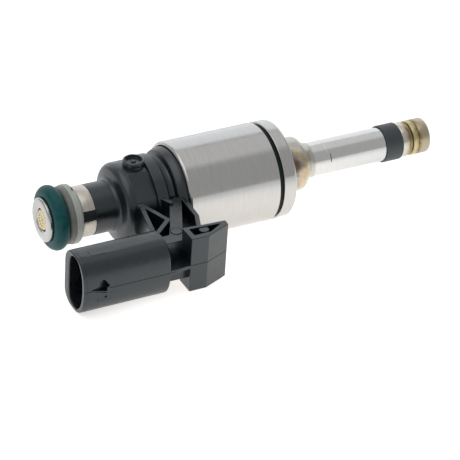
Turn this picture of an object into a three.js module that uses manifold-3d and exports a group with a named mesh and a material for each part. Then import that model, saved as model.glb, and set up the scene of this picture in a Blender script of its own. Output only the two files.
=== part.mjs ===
// High-pressure petrol direct injector, lying on its magnet housing and its electrical connector.
//
// Local frame of the pieces, in millimetres: X runs along the injector from the inlet face (x = 0)
// to the spray tip, the connector arm points along -Y, and Z is square to both.
// The finished group is rolled about X until the connector touches the surface under the housing.
// Its origin is then at the middle of the bounding box, on that surface, with +Z up.
import * as THREE from 'three';
import { mergeVertices } from 'three/addons/utils/BufferGeometryUtils.js';
import Module from 'manifold-3d';

const wasm = await Module();
wasm.setup();

// ---------------------------------------------------------------- driving dimensions (mm)

const GAP = 0.08;            // play between nested turned pieces
const CUT = 0.3;             // play round a piece moulded into another
const FINE = 36;             // facets round a large outer piece
const PLAIN = 24;            // facets round a small or inner piece

const INLET_R = 4.5;         // end disc of the inlet tube
const TUBE_R = 3.7;          // inlet tube under the overmould
const SEAL_SEAT_R = 3.4;     // inlet tube under the O-ring
const FUEL_R = 2.3;          // main fuel bore

const NECK_R = 5.2;          // overmoulded neck and spacer ring
const NECK_START = 9.85;
const NECK_END = 14.2;
const COLLAR_R = 8.3;
const COLLAR_START = 16.9;
const COLLAR_END = 21.8;
const BAND_R = 8.7;
const BAND_END = 24.6;
const FLANGE_R = 9.4;
const FLANGE_START = 26.2;

const HOUSING_R = 10.25;     // magnet housing
const HOUSING_BORE = 8.9;
const HOUSING_START = 28.1;
const HOUSING_END = 48.3;
const COVER_START = 49.45;
const COVER_END = 52.4;

const SHOULDER_R = 5.65;     // valve body in the cylinder head
const SHOULDER_END = 57.2;
const NOZZLE_R = 3.62;
const NOZZLE_START = 59.4;
const RING_START = 77.2;     // black support ring on the nozzle
const RING_END = 81.25;
const RING_R = 3.92;
const TIP_R = 3.68;
const TIP_END = 87.85;

const POLE_R = 4.7;          // inner pole and armature
const POLE_START = 26.6;
const POLE_END = 41.1;
const ARMATURE_START = 41.25;
const ARMATURE_END = 46.2;
const COUNTERBORE = 2.0;     // depth of the armature's spring pocket
const SLEEVE_BORE = 4.8;
const SLEEVE_R = 5.1;
const NEEDLE_R = 1.1;
const BALL_R = 1.6;
const BALL_X = 85.1;

const ARM_TOP = 3.7;         // half height of the arm's ribs
const ARM_WEB = 0.75;        // half thickness of its middle web
const MOUTH_X = -2.65;       // connector mouth
const SHROUD_END = 15.9;
const SOCKET_FLOOR = 9.5;
const BLOCK_START = 20.1;
const BLOCK_HALF = 6.05;     // half height of the guard block
const BLOCK_FRONT = 25.9;    // distance of its front face from the injector's axis
const TERMINAL_N = 22.3;     // distance of the contact blades from the axis
const TERMINAL_V = 1.9;      // half distance between the blades
const BLADE = { thick: 0.64, wide: 1.5 };

// ---------------------------------------------------------------- geometry helpers

const AXIS_X = new THREE.Vector3(1, 0, 0);
const AXIS_Y = new THREE.Vector3(0, 1, 0);
const AXIS_Z = new THREE.Vector3(0, 0, 1);

// Merges shared vertices, drops the flat triangles of a pole, and turns the faces out.
function closed(geometry) {
  const bare = geometry.clone();
  bare.deleteAttribute('normal');
  bare.deleteAttribute('uv');
  const merged = mergeVertices(bare, 1e-5);
  const source = merged.index.array;
  const kept = [];
  for (let i = 0; i < source.length; i += 3) {
    const [a, b, c] = [source[i], source[i + 1], source[i + 2]];
    if (a !== b && b !== c && c !== a) kept.push(a, b, c);
  }
  if (signedVolume(merged.attributes.position, kept) < 0) kept.reverse();
  merged.setIndex(kept);
  return merged;
}

function signedVolume(position, index) {
  const [a, b, c] = [new THREE.Vector3(), new THREE.Vector3(), new THREE.Vector3()];
  let sum = 0;
  for (let i = 0; i < index.length; i += 3) {
    a.fromBufferAttribute(position, index[i]);
    b.fromBufferAttribute(position, index[i + 1]);
    c.fromBufferAttribute(position, index[i + 2]);
    sum += a.dot(b.cross(c));
  }
  return sum / 6;
}

function toSolid(geometry) {
  const whole = closed(geometry);
  return new wasm.Manifold(new wasm.Mesh({
    numProp: 3,
    vertProperties: new Float32Array(whole.attributes.position.array),
    triVerts: new Uint32Array(whole.index.array),
  }));
}

function fromSolid(solid) {
  const mesh = solid.getMesh();
  const geometry = new THREE.BufferGeometry();
  geometry.setAttribute('position', new THREE.BufferAttribute(new Float32Array(mesh.vertProperties), 3));
  geometry.setIndex(new THREE.BufferAttribute(new Uint32Array(mesh.triVerts), 1));
  return geometry;
}

const join = (parts) => parts.map(toSolid).reduce((sum, part) => sum.add(part));
const cut = (solid, tools) => tools.map(toSolid).reduce((rest, tool) => rest.subtract(tool), solid);

// A closed ring or rod: the profile is a list of [x, r], turned about the X axis.
function turned(profile, facets = PLAIN) {
  const points = profile.map(([x, r]) => new THREE.Vector2(r, x));
  const onAxis = profile[0][1] === 0 && profile.at(-1)[1] === 0;
  if (!onAxis) points.push(points[0].clone());
  return closed(new THREE.LatheGeometry(points, facets).rotateZ(-Math.PI / 2));
}

// A plain tube from x0 to x1.
const tube = (x0, x1, inner, outer, facets = PLAIN) =>
  turned([[x0, inner], [x0, outer], [x1, outer], [x1, inner]], facets);

// A plain rod from x0 to x1.
const rod = (x0, x1, radius, facets = PLAIN) => turned([[x0, 0], [x0, radius], [x1, radius], [x1, 0]], facets);

// The points of an arc about (x, r), for a fillet or a round in a profile.
function arc(x, r, radius, fromDeg, toDeg, steps) {
  return Array.from({ length: steps + 1 }, (_, i) => {
    const angle = THREE.MathUtils.degToRad(fromDeg + ((toDeg - fromDeg) * i) / steps);
    return [x + radius * Math.cos(angle), r + radius * Math.sin(angle)];
  });
}

// A plate whose outline is a list of [x, n], n being the distance from the axis towards the connector.
function plate(outline, low, high) {
  const shape = new THREE.Shape(outline.map(([x, n]) => new THREE.Vector2(x, -n)));
  return new THREE.ExtrudeGeometry(shape, { depth: high - low, bevelEnabled: false }).translate(0, 0, low);
}

// A straight bar seen from above as a line with a width, for ribs, webs and conductors.
function bar([x0, n0], [x1, n1], width, low, high) {
  const length = Math.hypot(x1 - x0, n1 - n0);
  const [ux, un] = [((x1 - x0) / length) * (width / 2), ((n1 - n0) / length) * (width / 2)];
  return plate([[x0 - un, n0 + ux], [x1 - un, n1 + ux], [x1 + un, n1 - ux], [x0 + un, n0 - ux]], low, high);
}

// Sweeps a section, drawn in (y, z), along X from x0 to x1.
function swept(shape, x0, x1, curveSegments = 5) {
  const geometry = new THREE.ExtrudeGeometry(shape, { depth: x1 - x0, bevelEnabled: false, curveSegments });
  geometry.applyMatrix4(new THREE.Matrix4().makeBasis(AXIS_Y, AXIS_Z, AXIS_X));
  return geometry.translate(x0, 0, 0);
}

// A round post standing along Z.
const post = (x, n, radius, low, high, facets = 20) =>
  new THREE.CylinderGeometry(radius, radius, high - low, facets)
    .rotateX(Math.PI / 2)
    .translate(x, -n, (low + high) / 2);

// A helical spring about the X axis, with its end turns closed up.
function spring(x0, x1, radius, wire, turns) {
  const points = [];
  const steps = turns * 10;
  for (let i = 0; i <= steps; i += 1) {
    const share = i / steps;
    const eased = THREE.MathUtils.smoothstep(share, 0.02, 0.98);
    const angle = share * turns * 2 * Math.PI;
    const x = THREE.MathUtils.lerp(x0 + wire, x1 - wire, share * 0.6 + eased * 0.4);
    points.push(new THREE.Vector3(x, radius * Math.cos(angle), radius * Math.sin(angle)));
  }
  const section = new THREE.Shape();
  section.absarc(0, 0, wire, 0, 2 * Math.PI, false);
  const path = new THREE.CatmullRomCurve3(points);
  return closed(new THREE.ExtrudeGeometry(section, { steps, extrudePath: path, curveSegments: 3 }));
}

// ---------------------------------------------------------------- inlet end

const SEAL_X = 2.45;
const SEAL_SECTION = 1.5;

const inletTube = () => turned([
  [0, FUEL_R], [0, INLET_R - 0.35], [0.25, INLET_R], [0.8, INLET_R], [1.0, SEAL_SEAT_R],
  [6.95, SEAL_SEAT_R], [6.95, TUBE_R], [POLE_START + 2.9, TUBE_R], [POLE_START + 2.9, FUEL_R],
], FINE);

const inletORing = () => turned(
  arc(SEAL_X, SEAL_SEAT_R + GAP + SEAL_SECTION, SEAL_SECTION, 0, 337.5, 15),
  FINE,
);

const backupRing = () => turned([
  [4.05, SEAL_SEAT_R + GAP], [4.05, 5.4], [4.5, 5.75], [5.2, 5.8], [5.4, 5.95],
  [6.5, 5.95], [6.65, 5.7], [6.9, 5.6], [6.9, SEAL_SEAT_R + GAP],
], FINE);

const KEY_ANGLE = THREE.MathUtils.degToRad(20);
const keyTool = (width, x0, x1, r0, r1) => new THREE.BoxGeometry(x1 - x0, width, r1 - r0)
  .translate((x0 + x1) / 2, 0, (r0 + r1) / 2)
  .rotateX(Math.PI / 2 - KEY_ANGLE);

const spacerRing = () => fromSolid(cut(
  toSolid(tube(7.1, NECK_START - GAP, TUBE_R + GAP, NECK_R, FINE)),
  [keyTool(2.1, 6, 11, 2, 7)],
));

// A cup with its closed, raised end towards the rail, held by a pressed collar.
const fuelStrainer = () => turned([
  [0.35, 0], [0.35, 0.3], [0.5, 0.45], [0.45, 1.2], [0.2, 1.6], [0.2, 2.0], [0.45, 2.2], [1.0, 2.2],
  [1.1, 2.0], [8.4, 2.0], [8.4, 1.5], [1.3, 1.5], [1.3, 0],
]);
const strainerCollar = () => tube(8.5, 11, 1.55, FUEL_R - 0.05);

// ---------------------------------------------------------------- overmould with the connector

const overmouldBody = () => turned([
  [NECK_START, TUBE_R + GAP],
  [NECK_START, NECK_R - 0.1],
  [NECK_START + 0.15, NECK_R],
  ...arc(NECK_END, NECK_R + 0.9, 0.9, 270, 350, 4),
  ...arc(COLLAR_START, COLLAR_R - 1.6, 1.6, 170, 90, 4),
  [COLLAR_END, COLLAR_R],
  [COLLAR_END, BAND_R - 0.15],
  [COLLAR_END + 0.2, BAND_R],
  [BAND_END - 0.2, BAND_R],
  [BAND_END, BAND_R - 0.4],
  [FLANGE_START, BAND_R - 0.45],
  [FLANGE_START, FLANGE_R - 0.5],
  [FLANGE_START + 1.2, FLANGE_R],
  [HOUSING_START + 1.2, FLANGE_R],
  [HOUSING_START + 1.2, HOUSING_BORE - GAP],
  [HOUSING_START + 3.1, HOUSING_BORE - GAP],
  [HOUSING_START + 3.1, POLE_R + GAP],
  [POLE_START - GAP, POLE_R + GAP],
  [POLE_START - GAP, TUBE_R + GAP],
], FINE);

// Round moulding boss on the side of the collar that faces up, with a dished top.
const BOSS = { x: 19.9, radius: 2.2, top: 9.5, dish: 1.75, depth: 0.6 };
const boss = () => post(BOSS.x, 0, BOSS.radius, 6, BOSS.top, 28);
const bossDish = () => post(BOSS.x, 0, BOSS.dish, BOSS.top - BOSS.depth, BOSS.top + 1, 28);
const gateMark = () => post(BOSS.x, 0, 0.55, BOSS.top - BOSS.depth - 0.3, BOSS.top - 0.35, 16);

// Plain flat on the collar between the boss and the arm.
const FLAT_ANGLE = THREE.MathUtils.degToRad(50);
const FLAT_START = 17.4;
const collarFlat = () => new THREE.BoxGeometry(COLLAR_END - FLAT_START, 8, 3)
  .translate((COLLAR_END + FLAT_START) / 2, 0, 7.87 + 1.5)
  .rotateX(Math.PI / 2 - FLAT_ANGLE);

const ARM = {
  root: [18.2, 7.2],          // lattice corner on the collar
  tip: [20.7, 14.4],
  shroud: [16.7, 17.95],
  corner: [16.1, 17.3],
  beamTop: [25.4, 8.2],
  beamEnd: [20.75, 18.0],
  webTop: [27.0, 8.6],
  webKnee: [26.6, 15.2],
  webEnd: [25.2, 18.9],
};
const RIB = 0.95;
const BEAM = 2.5;

function armParts() {
  const rib = (from, to, width = RIB) => bar(from, to, width, -ARM_TOP, ARM_TOP);
  const middleWeb = plate([
    [17.7, 6.4], ARM.root, ARM.corner, [15.0, 20], [15.0, 22.2], [24.6, 21.9],
    ARM.webEnd, ARM.webKnee, ARM.webTop, [26.9, 6.4],
  ], -ARM_WEB, ARM_WEB);
  const ledge = plate([
    [15.0, 21], [15.0, 26.3], [17.5, 26.15], [BLOCK_START + 0.6, 25.8], [BLOCK_START + 0.6, 21],
  ], -ARM_WEB, 0.1);
  const platform = plate([
    [15.0, 19.45], [18.45, 19.45], [19.6, 17.1], [22.2, 18.2], [24.8, 18.4], [25.0, 22.3], [15.0, 22.3],
  ], 2.0, ARM_TOP);
  const core = plate([
    [15.0, 19.55], [18.6, 19.55], [19.7, 17.8], [24.8, 17.8], [24.8, 22.3], [15.0, 22.3],
  ], -ARM_TOP, 2.2);
  const lowerWeb = plate([[15.0, 19], [22.0, 19], [BLOCK_START + 1, 24.4], [15.0, 24.4]], -ARM_TOP, 0);
  return [
    middleWeb, ledge, platform, core, lowerWeb,
    rib(ARM.root, ARM.tip), rib(ARM.tip, ARM.shroud), rib(ARM.root, ARM.corner),
    rib(ARM.beamTop, ARM.beamEnd, BEAM), rib([22.8, 6.4], [24.5, 8.4]),
    rib([27.0, 5.6], ARM.webTop), rib([25.2, 7.6], ARM.webTop), rib(ARM.webTop, ARM.webKnee),
    rib(ARM.webKnee, ARM.webEnd), rib(ARM.webEnd, [24.9, 22.3]),
    post(...ARM.webKnee, RIB / 2, -ARM_TOP, ARM_TOP, 12),
    post(...ARM.root, 0.9, -ARM_TOP, ARM_TOP + 0.05),
    post(20.3, 18.9, 1.2, -ARM_TOP, ARM_TOP + 0.1),
  ];
}

const block = () => plate([
  [BLOCK_START, 21.6], [29.2, 22.1], [29.15, 23.6], [23.8, BLOCK_FRONT], [BLOCK_START, BLOCK_FRONT],
], -BLOCK_HALF, BLOCK_HALF);
const blockSlot = () => plate([[21.15, 22.35], [28.0, 22.8], [24.8, 24.7], [21.2, 24.75]], 1.5, BLOCK_HALF + 1);
const slotPost = () => post(24.0, 23.25, 0.95, 0, BLOCK_HALF - 0.2, 16);

// The D-shaped section of the shroud, drawn in (y, z) with y = -n; its middle is a little below the arm's.
function shroudSection({ flat, flatHalf, shoulder, tip, half, front, nose, middle }) {
  const [low, high] = [middle - half, middle + half];
  const shape = new THREE.Shape();
  shape.moveTo(-flat, middle - flatHalf);
  shape.quadraticCurveTo(-flat, low, -shoulder, low);
  shape.lineTo(-tip, low);
  shape.quadraticCurveTo(-front, low + nose, -front, middle);
  shape.quadraticCurveTo(-front, high - nose, -tip, high);
  shape.lineTo(-shoulder, high);
  shape.quadraticCurveTo(-flat, high, -flat, middle + flatHalf);
  shape.closePath();
  return shape;
}
const SHROUD = {
  flat: 17.3, flatHalf: 2.8, shoulder: 21.0, tip: 22.9, half: 6.1, front: 26.3, nose: 1.0, middle: -0.6,
};
const SOCKET = {
  flat: 19.2, flatHalf: 2.0, shoulder: 21.4, tip: 22.6, half: 5.45, front: 25.4, nose: 1.2, middle: -0.5,
};

const shroud = () => swept(shroudSection(SHROUD), MOUTH_X, SHROUD_END);
const socket = () => swept(shroudSection(SOCKET), MOUTH_X - 1, SOCKET_FLOOR);

// Ramp pocket and lug for the plug's latch, on the outer side of the mouth.
const latchPocket = () => bar([-0.2, 26.9], [2.4, 26.1], 1.4, -0.4, 1.9);

// Each contact: a blade in the socket, a conductor through the arm, and a tail to the coil.
const BLADE_TIP = 2.0;
const TERMINAL_ROUTE = [[BLADE_TIP, TERMINAL_N], [10.6, TERMINAL_N], [20.6, 18.0], [24.6, 8.6], [25.6, 7.0]];
const TAIL_X = 31.9;
function terminal(side, play) {
  const [low, high] = [side * TERMINAL_V - BLADE.wide / 2 - play, side * TERMINAL_V + BLADE.wide / 2 + play];
  const width = BLADE.thick + 2 * play;
  const points = [...TERMINAL_ROUTE, [TAIL_X, 7.0]];
  if (play > 0) {
    points[0] = [SOCKET_FLOOR - 1, TERMINAL_N];
    points[points.length - 1] = [TAIL_X + 1, 7.0];
  }
  const legs = points.slice(1).map((point, i) => bar(points[i], point, width, low, high));
  const bends = points.slice(1, -1).map((point) => post(...point, width / 2, low, high, 12));
  return [...legs, ...bends];
}

function connectorBody() {
  const arm = armParts().map(toSolid).reduce((sum, part) => sum.add(part));
  const bore = toSolid(rod(NECK_START - 1, HOUSING_END, COLLAR_R - 0.6, FINE));
  const outside = arm.subtract(bore);
  let body = join([overmouldBody(), boss(), shroud(), block()]).add(outside);
  body = cut(body, [bossDish(), collarFlat(), socket(), blockSlot(), latchPocket()]);
  body = body.add(toSolid(gateMark())).add(toSolid(slotPost()));
  body = body.add(toSolid(keyTool(1.7, 7.15, NECK_START + 0.4, TUBE_R + GAP, NECK_R - 0.05)));
  return fromSolid(cut(body, [...terminal(1, CUT / 2), ...terminal(-1, CUT / 2)]));
}

// ---------------------------------------------------------------- magnet circuit

const housing = () => turned([
  [HOUSING_START + 1.3, HOUSING_BORE],
  [HOUSING_START + 1.3, FLANGE_R + 0.15],
  [HOUSING_START, FLANGE_R + 0.3],
  ...arc(HOUSING_START + 0.75, HOUSING_R - 0.75, 0.75, 180, 90, 3),
  [HOUSING_END - 0.1, HOUSING_R],
  [HOUSING_END, HOUSING_R - 0.1],
  [HOUSING_END, HOUSING_BORE],
], FINE);

const coverPlate = () => turned([
  [46.6, SLEEVE_R + GAP], [46.6, HOUSING_BORE - GAP], [COVER_START, HOUSING_BORE - GAP],
  [COVER_START, HOUSING_R - 0.15], [COVER_START + 0.1, HOUSING_R - 0.05],
  ...arc(COVER_END - 0.6, HOUSING_R - 0.65, 0.6, 90, 0, 3),
  [COVER_END, SHOULDER_R + GAP], [COVER_START, SHOULDER_R + GAP], [COVER_START, SLEEVE_R + GAP],
], FINE);

const housingRing = () => tube(HOUSING_END + 0.06, COVER_START - 0.06, HOUSING_BORE, HOUSING_R - 0.1, FINE);

const topWasher = () => fromSolid(cut(
  toSolid(tube(31.3, 33, POLE_R + GAP, HOUSING_BORE - GAP)),
  [plate([[31, 6.3], [33.2, 6.3], [33.2, 9.5], [31, 9.5]], -3.2, 3.2)],
));

const coilBobbin = () => turned([
  [33.1, 5.2], [33.1, 8.75], [34.0, 8.75], [34.0, 5.9], [45.5, 5.9], [45.5, 8.75], [46.5, 8.75], [46.5, 5.2],
]);
const coilWinding = () => tube(34.1, 45.4, 6.0, 8.5);

const innerPole = () => turned([
  [POLE_START, TUBE_R + GAP], [POLE_START, POLE_R], [POLE_END, POLE_R], [POLE_END, FUEL_R],
  [POLE_START + 3, FUEL_R], [POLE_START + 3, TUBE_R + GAP],
]);

const adjustingSleeve = () => tube(30.2, 33.6, 1.2, FUEL_R - 0.05, 24);
const valveSleeve = () => tube(37.8, 48.9, SLEEVE_BORE, SLEEVE_R);

// ---------------------------------------------------------------- moving parts

const closingSpring = () => spring(33.7, 40.1, 1.7, 0.28, 7);
const overtravelSpring = () => spring(44.35, 47.2, 1.9, 0.22, 3);

function armature() {
  const body = toSolid(turned([
    [ARMATURE_START, NEEDLE_R + GAP], [ARMATURE_START, POLE_R], [ARMATURE_END, POLE_R], [ARMATURE_END, 2.5],
    [ARMATURE_END - COUNTERBORE, 2.5], [ARMATURE_END - COUNTERBORE, NEEDLE_R + GAP],
  ]));
  const passages = [45, 135, 225, 315].map((degrees) => rod(ARMATURE_START - 1, ARMATURE_END + 1, 0.55, 10)
    .translate(0, 0, 3.6)
    .rotateX(THREE.MathUtils.degToRad(degrees)));
  return fromSolid(cut(body, passages));
}

const needle = () => turned([
  [40.3, 0], [40.3, 0.9], [40.5, NEEDLE_R], [83.0, NEEDLE_R], [83.38, 0.8], [83.38, 0],
], 24);
const needleBall = () => closed(new THREE.SphereGeometry(BALL_R, 20, 12).rotateZ(Math.PI / 2)
  .translate(BALL_X, 0, 0));
const upperStopRing = () => tube(40.35, ARMATURE_START - 0.03, NEEDLE_R + 0.05, 2.1, 24);
const lowerStopSleeve = () => turned([
  [ARMATURE_END - COUNTERBORE + 0.07, NEEDLE_R + 0.05], [ARMATURE_END - COUNTERBORE + 0.07, 1.5],
  [47.3, 1.5], [47.3, 2.6], [48.2, 2.6], [48.2, NEEDLE_R + 0.05],
], 24);

// ---------------------------------------------------------------- valve body and nozzle

const valveBody = () => turned([
  [COVER_START + GAP, 1.6],
  [COVER_START + GAP, SHOULDER_R],
  [SHOULDER_END - 0.9, SHOULDER_R],
  ...arc(SHOULDER_END - 0.9, SHOULDER_R - 0.9, 0.9, 90, 25, 3),
  ...arc(NOZZLE_START + 0.4, NOZZLE_R + 1.5, 1.35, 205, 262, 3),
  [60.1, NOZZLE_R + 0.09],
  [56, NOZZLE_R + GAP],
  [56, 1.6],
], FINE);

const nozzleTube = () => turned([
  [56.1, 1.9], [56.1, NOZZLE_R], [RING_START - 0.06, NOZZLE_R], [RING_START - 0.06, 3.3],
  [RING_END + 0.06, 3.3], [RING_END + 0.06, TIP_R - 0.1], [RING_END + 0.16, TIP_R], [82.9, TIP_R],
  [83.1, 3.45], [83.7, 3.45], [83.7, 1.9],
], FINE);

const supportRing = () => turned([
  [RING_START, 3.3 + GAP], [RING_START, RING_R - 0.1], [RING_START + 0.12, RING_R],
  [RING_END - 0.12, RING_R], [RING_END, RING_R - 0.1], [RING_END, 3.3 + GAP],
], FINE);

// Guide ring with four flow slots, on the needle just above the seat.
function needleGuide() {
  const shape = new THREE.Shape();
  for (let i = 0; i < 4; i += 1) {
    const start = (i * Math.PI) / 2 + 0.32;
    shape.absarc(0, 0, 1.82, start, start + Math.PI / 2 - 0.64, false);
    shape.absarc(0, 0, 1.5, start + Math.PI / 2 - 0.5, start + Math.PI / 2 - 0.14, false);
  }
  shape.closePath();
  const hole = new THREE.Path();
  hole.absarc(0, 0, NEEDLE_R + 0.06, 0, 2 * Math.PI, true);
  shape.holes.push(hole);
  return closed(swept(shape, 79.5, 82.5, 5));
}

// Seat cup: the cone touches the ball when the needle is closed, and six holes spray through its floor.
const SEAT_START = 83.9;
const SEAT_CLEARANCE = 0.03;
const SPRAY_HOLES = 6;
function valveSeat() {
  const contact = BALL_R * Math.SQRT1_2;
  const coneX = BALL_X + contact + SEAT_CLEARANCE * Math.SQRT2;
  const coneR = (x) => contact - (x - coneX);
  const sacR = 0.4;
  const sac = coneX + contact - sacR;
  const mouth = SEAT_START + 0.6;
  const cup = toSolid(turned([
    [sac + 0.15, 0], [sac + 0.15, sacR], [sac, sacR], [mouth, coneR(mouth)], [SEAT_START, coneR(mouth)],
    [SEAT_START, TIP_R - 0.15], [SEAT_START + 0.15, TIP_R], [85.1, TIP_R], [85.25, 3.5], [85.55, 3.5],
    [85.7, TIP_R], [TIP_END - 0.15, TIP_R], [TIP_END, TIP_R - 0.15], [TIP_END, 0],
  ], FINE));
  const holes = Array.from({ length: SPRAY_HOLES }, (_, i) => new THREE.CylinderGeometry(0.12, 0.12, 2.4, 6)
    .rotateZ(-Math.PI / 2)
    .translate(1.0, 0, 0)
    .rotateZ(THREE.MathUtils.degToRad(38))
    .translate(sac - 0.1, 0, 0)
    .rotateX((i * 2 * Math.PI) / SPRAY_HOLES));
  return fromSolid(cut(cup, holes));
}

// ---------------------------------------------------------------- finishes

const FINISHES = {
  steel: { color: 0xb4b4b0, roughness: 0.38, metalness: 1 },
  darkSteel: { color: 0x8c8c8a, roughness: 0.45, metalness: 1 },
  tintedSteel: { color: 0xa5967a, roughness: 0.42, metalness: 1 },
  plastic: { color: 0x26292d, roughness: 0.55, metalness: 0 },
  black: { color: 0x17191b, roughness: 0.6, metalness: 0 },
  teal: { color: 0x1c5254, roughness: 0.5, metalness: 0 },
  pale: { color: 0xb9bab3, roughness: 0.5, metalness: 0 },
  brass: { color: 0xb08d45, roughness: 0.35, metalness: 1 },
  copper: { color: 0xb06a3c, roughness: 0.35, metalness: 1 },
  cream: { color: 0xdccba0, roughness: 0.5, metalness: 0 },
};

const injector = new THREE.Group();

function add(name, geometry, finish) {
  const mesh = new THREE.Mesh(geometry, new THREE.MeshStandardMaterial(FINISHES[finish]));
  mesh.name = name;
  injector.add(mesh);
}

add('inlet_tube', inletTube(), 'steel');
add('inlet_o_ring', inletORing(), 'teal');
add('backup_ring', backupRing(), 'pale');
add('spacer_ring', spacerRing(), 'steel');
add('fuel_strainer', fuelStrainer(), 'cream');
add('strainer_collar', strainerCollar(), 'brass');
add('connector_body', connectorBody(), 'plastic');
add('terminal_upper', fromSolid(join(terminal(1, 0))), 'brass');
add('terminal_lower', fromSolid(join(terminal(-1, 0))), 'brass');
add('magnet_housing', housing(), 'steel');
add('housing_cover', coverPlate(), 'steel');
add('housing_seal_ring', housingRing(), 'black');
add('top_washer', topWasher(), 'darkSteel');
add('coil_bobbin', coilBobbin(), 'plastic');
add('coil_winding', coilWinding(), 'copper');
add('inner_pole', innerPole(), 'darkSteel');
add('adjusting_sleeve', adjustingSleeve(), 'steel');
add('valve_sleeve', valveSleeve(), 'steel');
add('closing_spring', closingSpring(), 'steel');
add('upper_stop_ring', upperStopRing(), 'steel');
add('armature', armature(), 'darkSteel');
add('overtravel_spring', overtravelSpring(), 'steel');
add('lower_stop_sleeve', lowerStopSleeve(), 'steel');
add('needle', needle(), 'steel');
add('needle_ball', needleBall(), 'steel');
add('valve_body', valveBody(), 'steel');
add('nozzle_tube', nozzleTube(), 'steel');
add('nozzle_support_ring', supportRing(), 'black');
add('needle_guide', needleGuide(), 'darkSteel');
add('valve_seat', valveSeat(), 'tintedSteel');

// ---------------------------------------------------------------- resting place

// The roll at which a point n out and v down meets the surface that the housing rests on.
const rollTo = (n, v) => Math.asin(HOUSING_R / Math.hypot(n, v)) - Math.atan2(v, n);
injector.rotation.x = Math.min(
  rollTo(SHROUD.tip, SHROUD.half - SHROUD.middle),
  rollTo(BLOCK_FRONT, BLOCK_HALF),
);

const assembly = new THREE.Group();
assembly.add(injector);
injector.updateMatrixWorld(true);
const box = new THREE.Box3().setFromObject(injector, true);
const middle = box.getCenter(new THREE.Vector3());
injector.position.set(-middle.x, -middle.y, -box.min.z);

export default assembly;
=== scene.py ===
"""Looks for a high-pressure petrol direct injector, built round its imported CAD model.

Every piece is drawn in the injector's own frame, in millimetres: x runs along it from the inlet face,
n is the distance from its axis towards the connector, and v is square to both.
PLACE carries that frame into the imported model's frame, in metres.
"""
import math

import bmesh
import bpy
from mathutils import Matrix, Vector


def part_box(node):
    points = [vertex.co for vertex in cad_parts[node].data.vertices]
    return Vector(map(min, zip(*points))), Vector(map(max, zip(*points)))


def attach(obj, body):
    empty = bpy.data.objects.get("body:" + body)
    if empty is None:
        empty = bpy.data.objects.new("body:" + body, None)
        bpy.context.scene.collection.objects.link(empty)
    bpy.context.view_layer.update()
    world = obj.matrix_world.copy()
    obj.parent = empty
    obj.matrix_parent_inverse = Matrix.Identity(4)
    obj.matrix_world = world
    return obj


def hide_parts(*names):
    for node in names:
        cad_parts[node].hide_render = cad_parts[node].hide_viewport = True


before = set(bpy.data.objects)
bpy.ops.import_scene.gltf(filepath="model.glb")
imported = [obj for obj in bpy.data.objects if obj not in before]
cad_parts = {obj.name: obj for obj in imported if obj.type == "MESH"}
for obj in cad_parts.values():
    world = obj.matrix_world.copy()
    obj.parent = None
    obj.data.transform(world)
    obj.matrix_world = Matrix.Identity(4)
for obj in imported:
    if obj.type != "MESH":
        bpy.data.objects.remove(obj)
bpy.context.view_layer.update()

# ---------------------------------------------------------------- the injector's frame


def centre(node):
    low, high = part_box(node)
    return (low + high) / 2


UPPER, LOWER = centre("terminal_upper"), centre("terminal_lower")
ROLL = math.atan2(LOWER.y - UPPER.y, UPPER.z - LOWER.z)
AXIS = centre("magnet_housing")
ORIGIN = Vector((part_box("inlet_tube")[0].x, AXIS.y, AXIS.z))
MM = 0.001
PLACE = Matrix.Translation(ORIGIN) @ Matrix.Rotation(ROLL, 4, "X") @ Matrix.Scale(MM, 4)

# ---------------------------------------------------------------- driving dimensions (mm)

INLET_R = 4.5
SEAL_SEAT_R = 3.4
TUBE_R = 3.7
FUEL_R = 2.3
NECK_R = 5.2
NECK_START = 9.85
NECK_END = 14.2
COLLAR_R = 8.3
COLLAR_START = 16.9
COLLAR_END = 21.8
BAND_R = 8.7
BAND_END = 24.6
FLANGE_R = 9.4
FLANGE_START = 26.2
HOUSING_R = 10.25
HOUSING_BORE = 8.9
HOUSING_START = 28.1
HOUSING_END = 48.3
COVER_START = 49.45
COVER_END = 52.4
SHOULDER_R = 5.65
SHOULDER_END = 57.2
NOZZLE_R = 3.62
NOZZLE_START = 59.4
RING_START = 77.2
RING_END = 81.25
RING_R = 3.92
TIP_R = 3.68
TIP_END = 87.85
ARM_TOP = 3.7
ARM_WEB = 0.75
MOUTH_X = -2.65
SHROUD_END = 15.9
SOCKET_FLOOR = 9.5
BLOCK_START = 20.1
BLOCK_HALF = 6.05
BLOCK_FRONT = 25.9
BLOCK_CORNER = (23.8, BLOCK_FRONT)
BLOCK_NOSE = (29.15, 23.6)
TERMINAL_N = 22.3
TERMINAL_V = 1.9
SEAL_X = 2.4                                   # the O-ring's middle
SEAL_SECTION = 1.6                             # the radius of its section
BACKUP_STEP = 5.25                             # where the backup ring's outline steps, and where the painted shade on its front part ends
SLIT_ANGLE = 86
KEY_ANGLE = 20
KEY_WIDTH = 1.8
RING_LINE = 63.2                               # a turned line round the nozzle
MARK_ANGLE = 26

# ---------------------------------------------------------------- outlines

QUARTER = math.pi / 2
NEARLY_STRAIGHT = math.radians(165)            # a corner this open isn't rounded
SHARE_OF_EDGE = 0.45                           # the most of an edge that one rounded corner takes
MERGE_DISTANCE = 1e-5
SHARP_ANGLE = math.radians(38)


def arc(x, r, radius, start, end, steps):
    """Points on a circle about (x, r), from one angle to another in degrees."""
    angles = [math.radians(start + (end - start) * i / steps) for i in range(steps + 1)]
    return [(x + radius * math.cos(a), r + radius * math.sin(a)) for a in angles]


def curve(x, r, radius, start, end, steps):
    """An arc whose points turned() leaves as they are."""
    return [(*point, 0) for point in arc(x, r, radius, start, end, steps)]


def quadratic(a, b, c, steps=10):
    """Points on the curve that leaves a towards b and arrives at c, without its last point."""
    points = []
    for t in [i / steps for i in range(steps)]:
        points.append(tuple((1 - t) ** 2 * p + 2 * t * (1 - t) * q + t * t * r for p, q, r in zip(a, b, c)))
    return points


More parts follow.
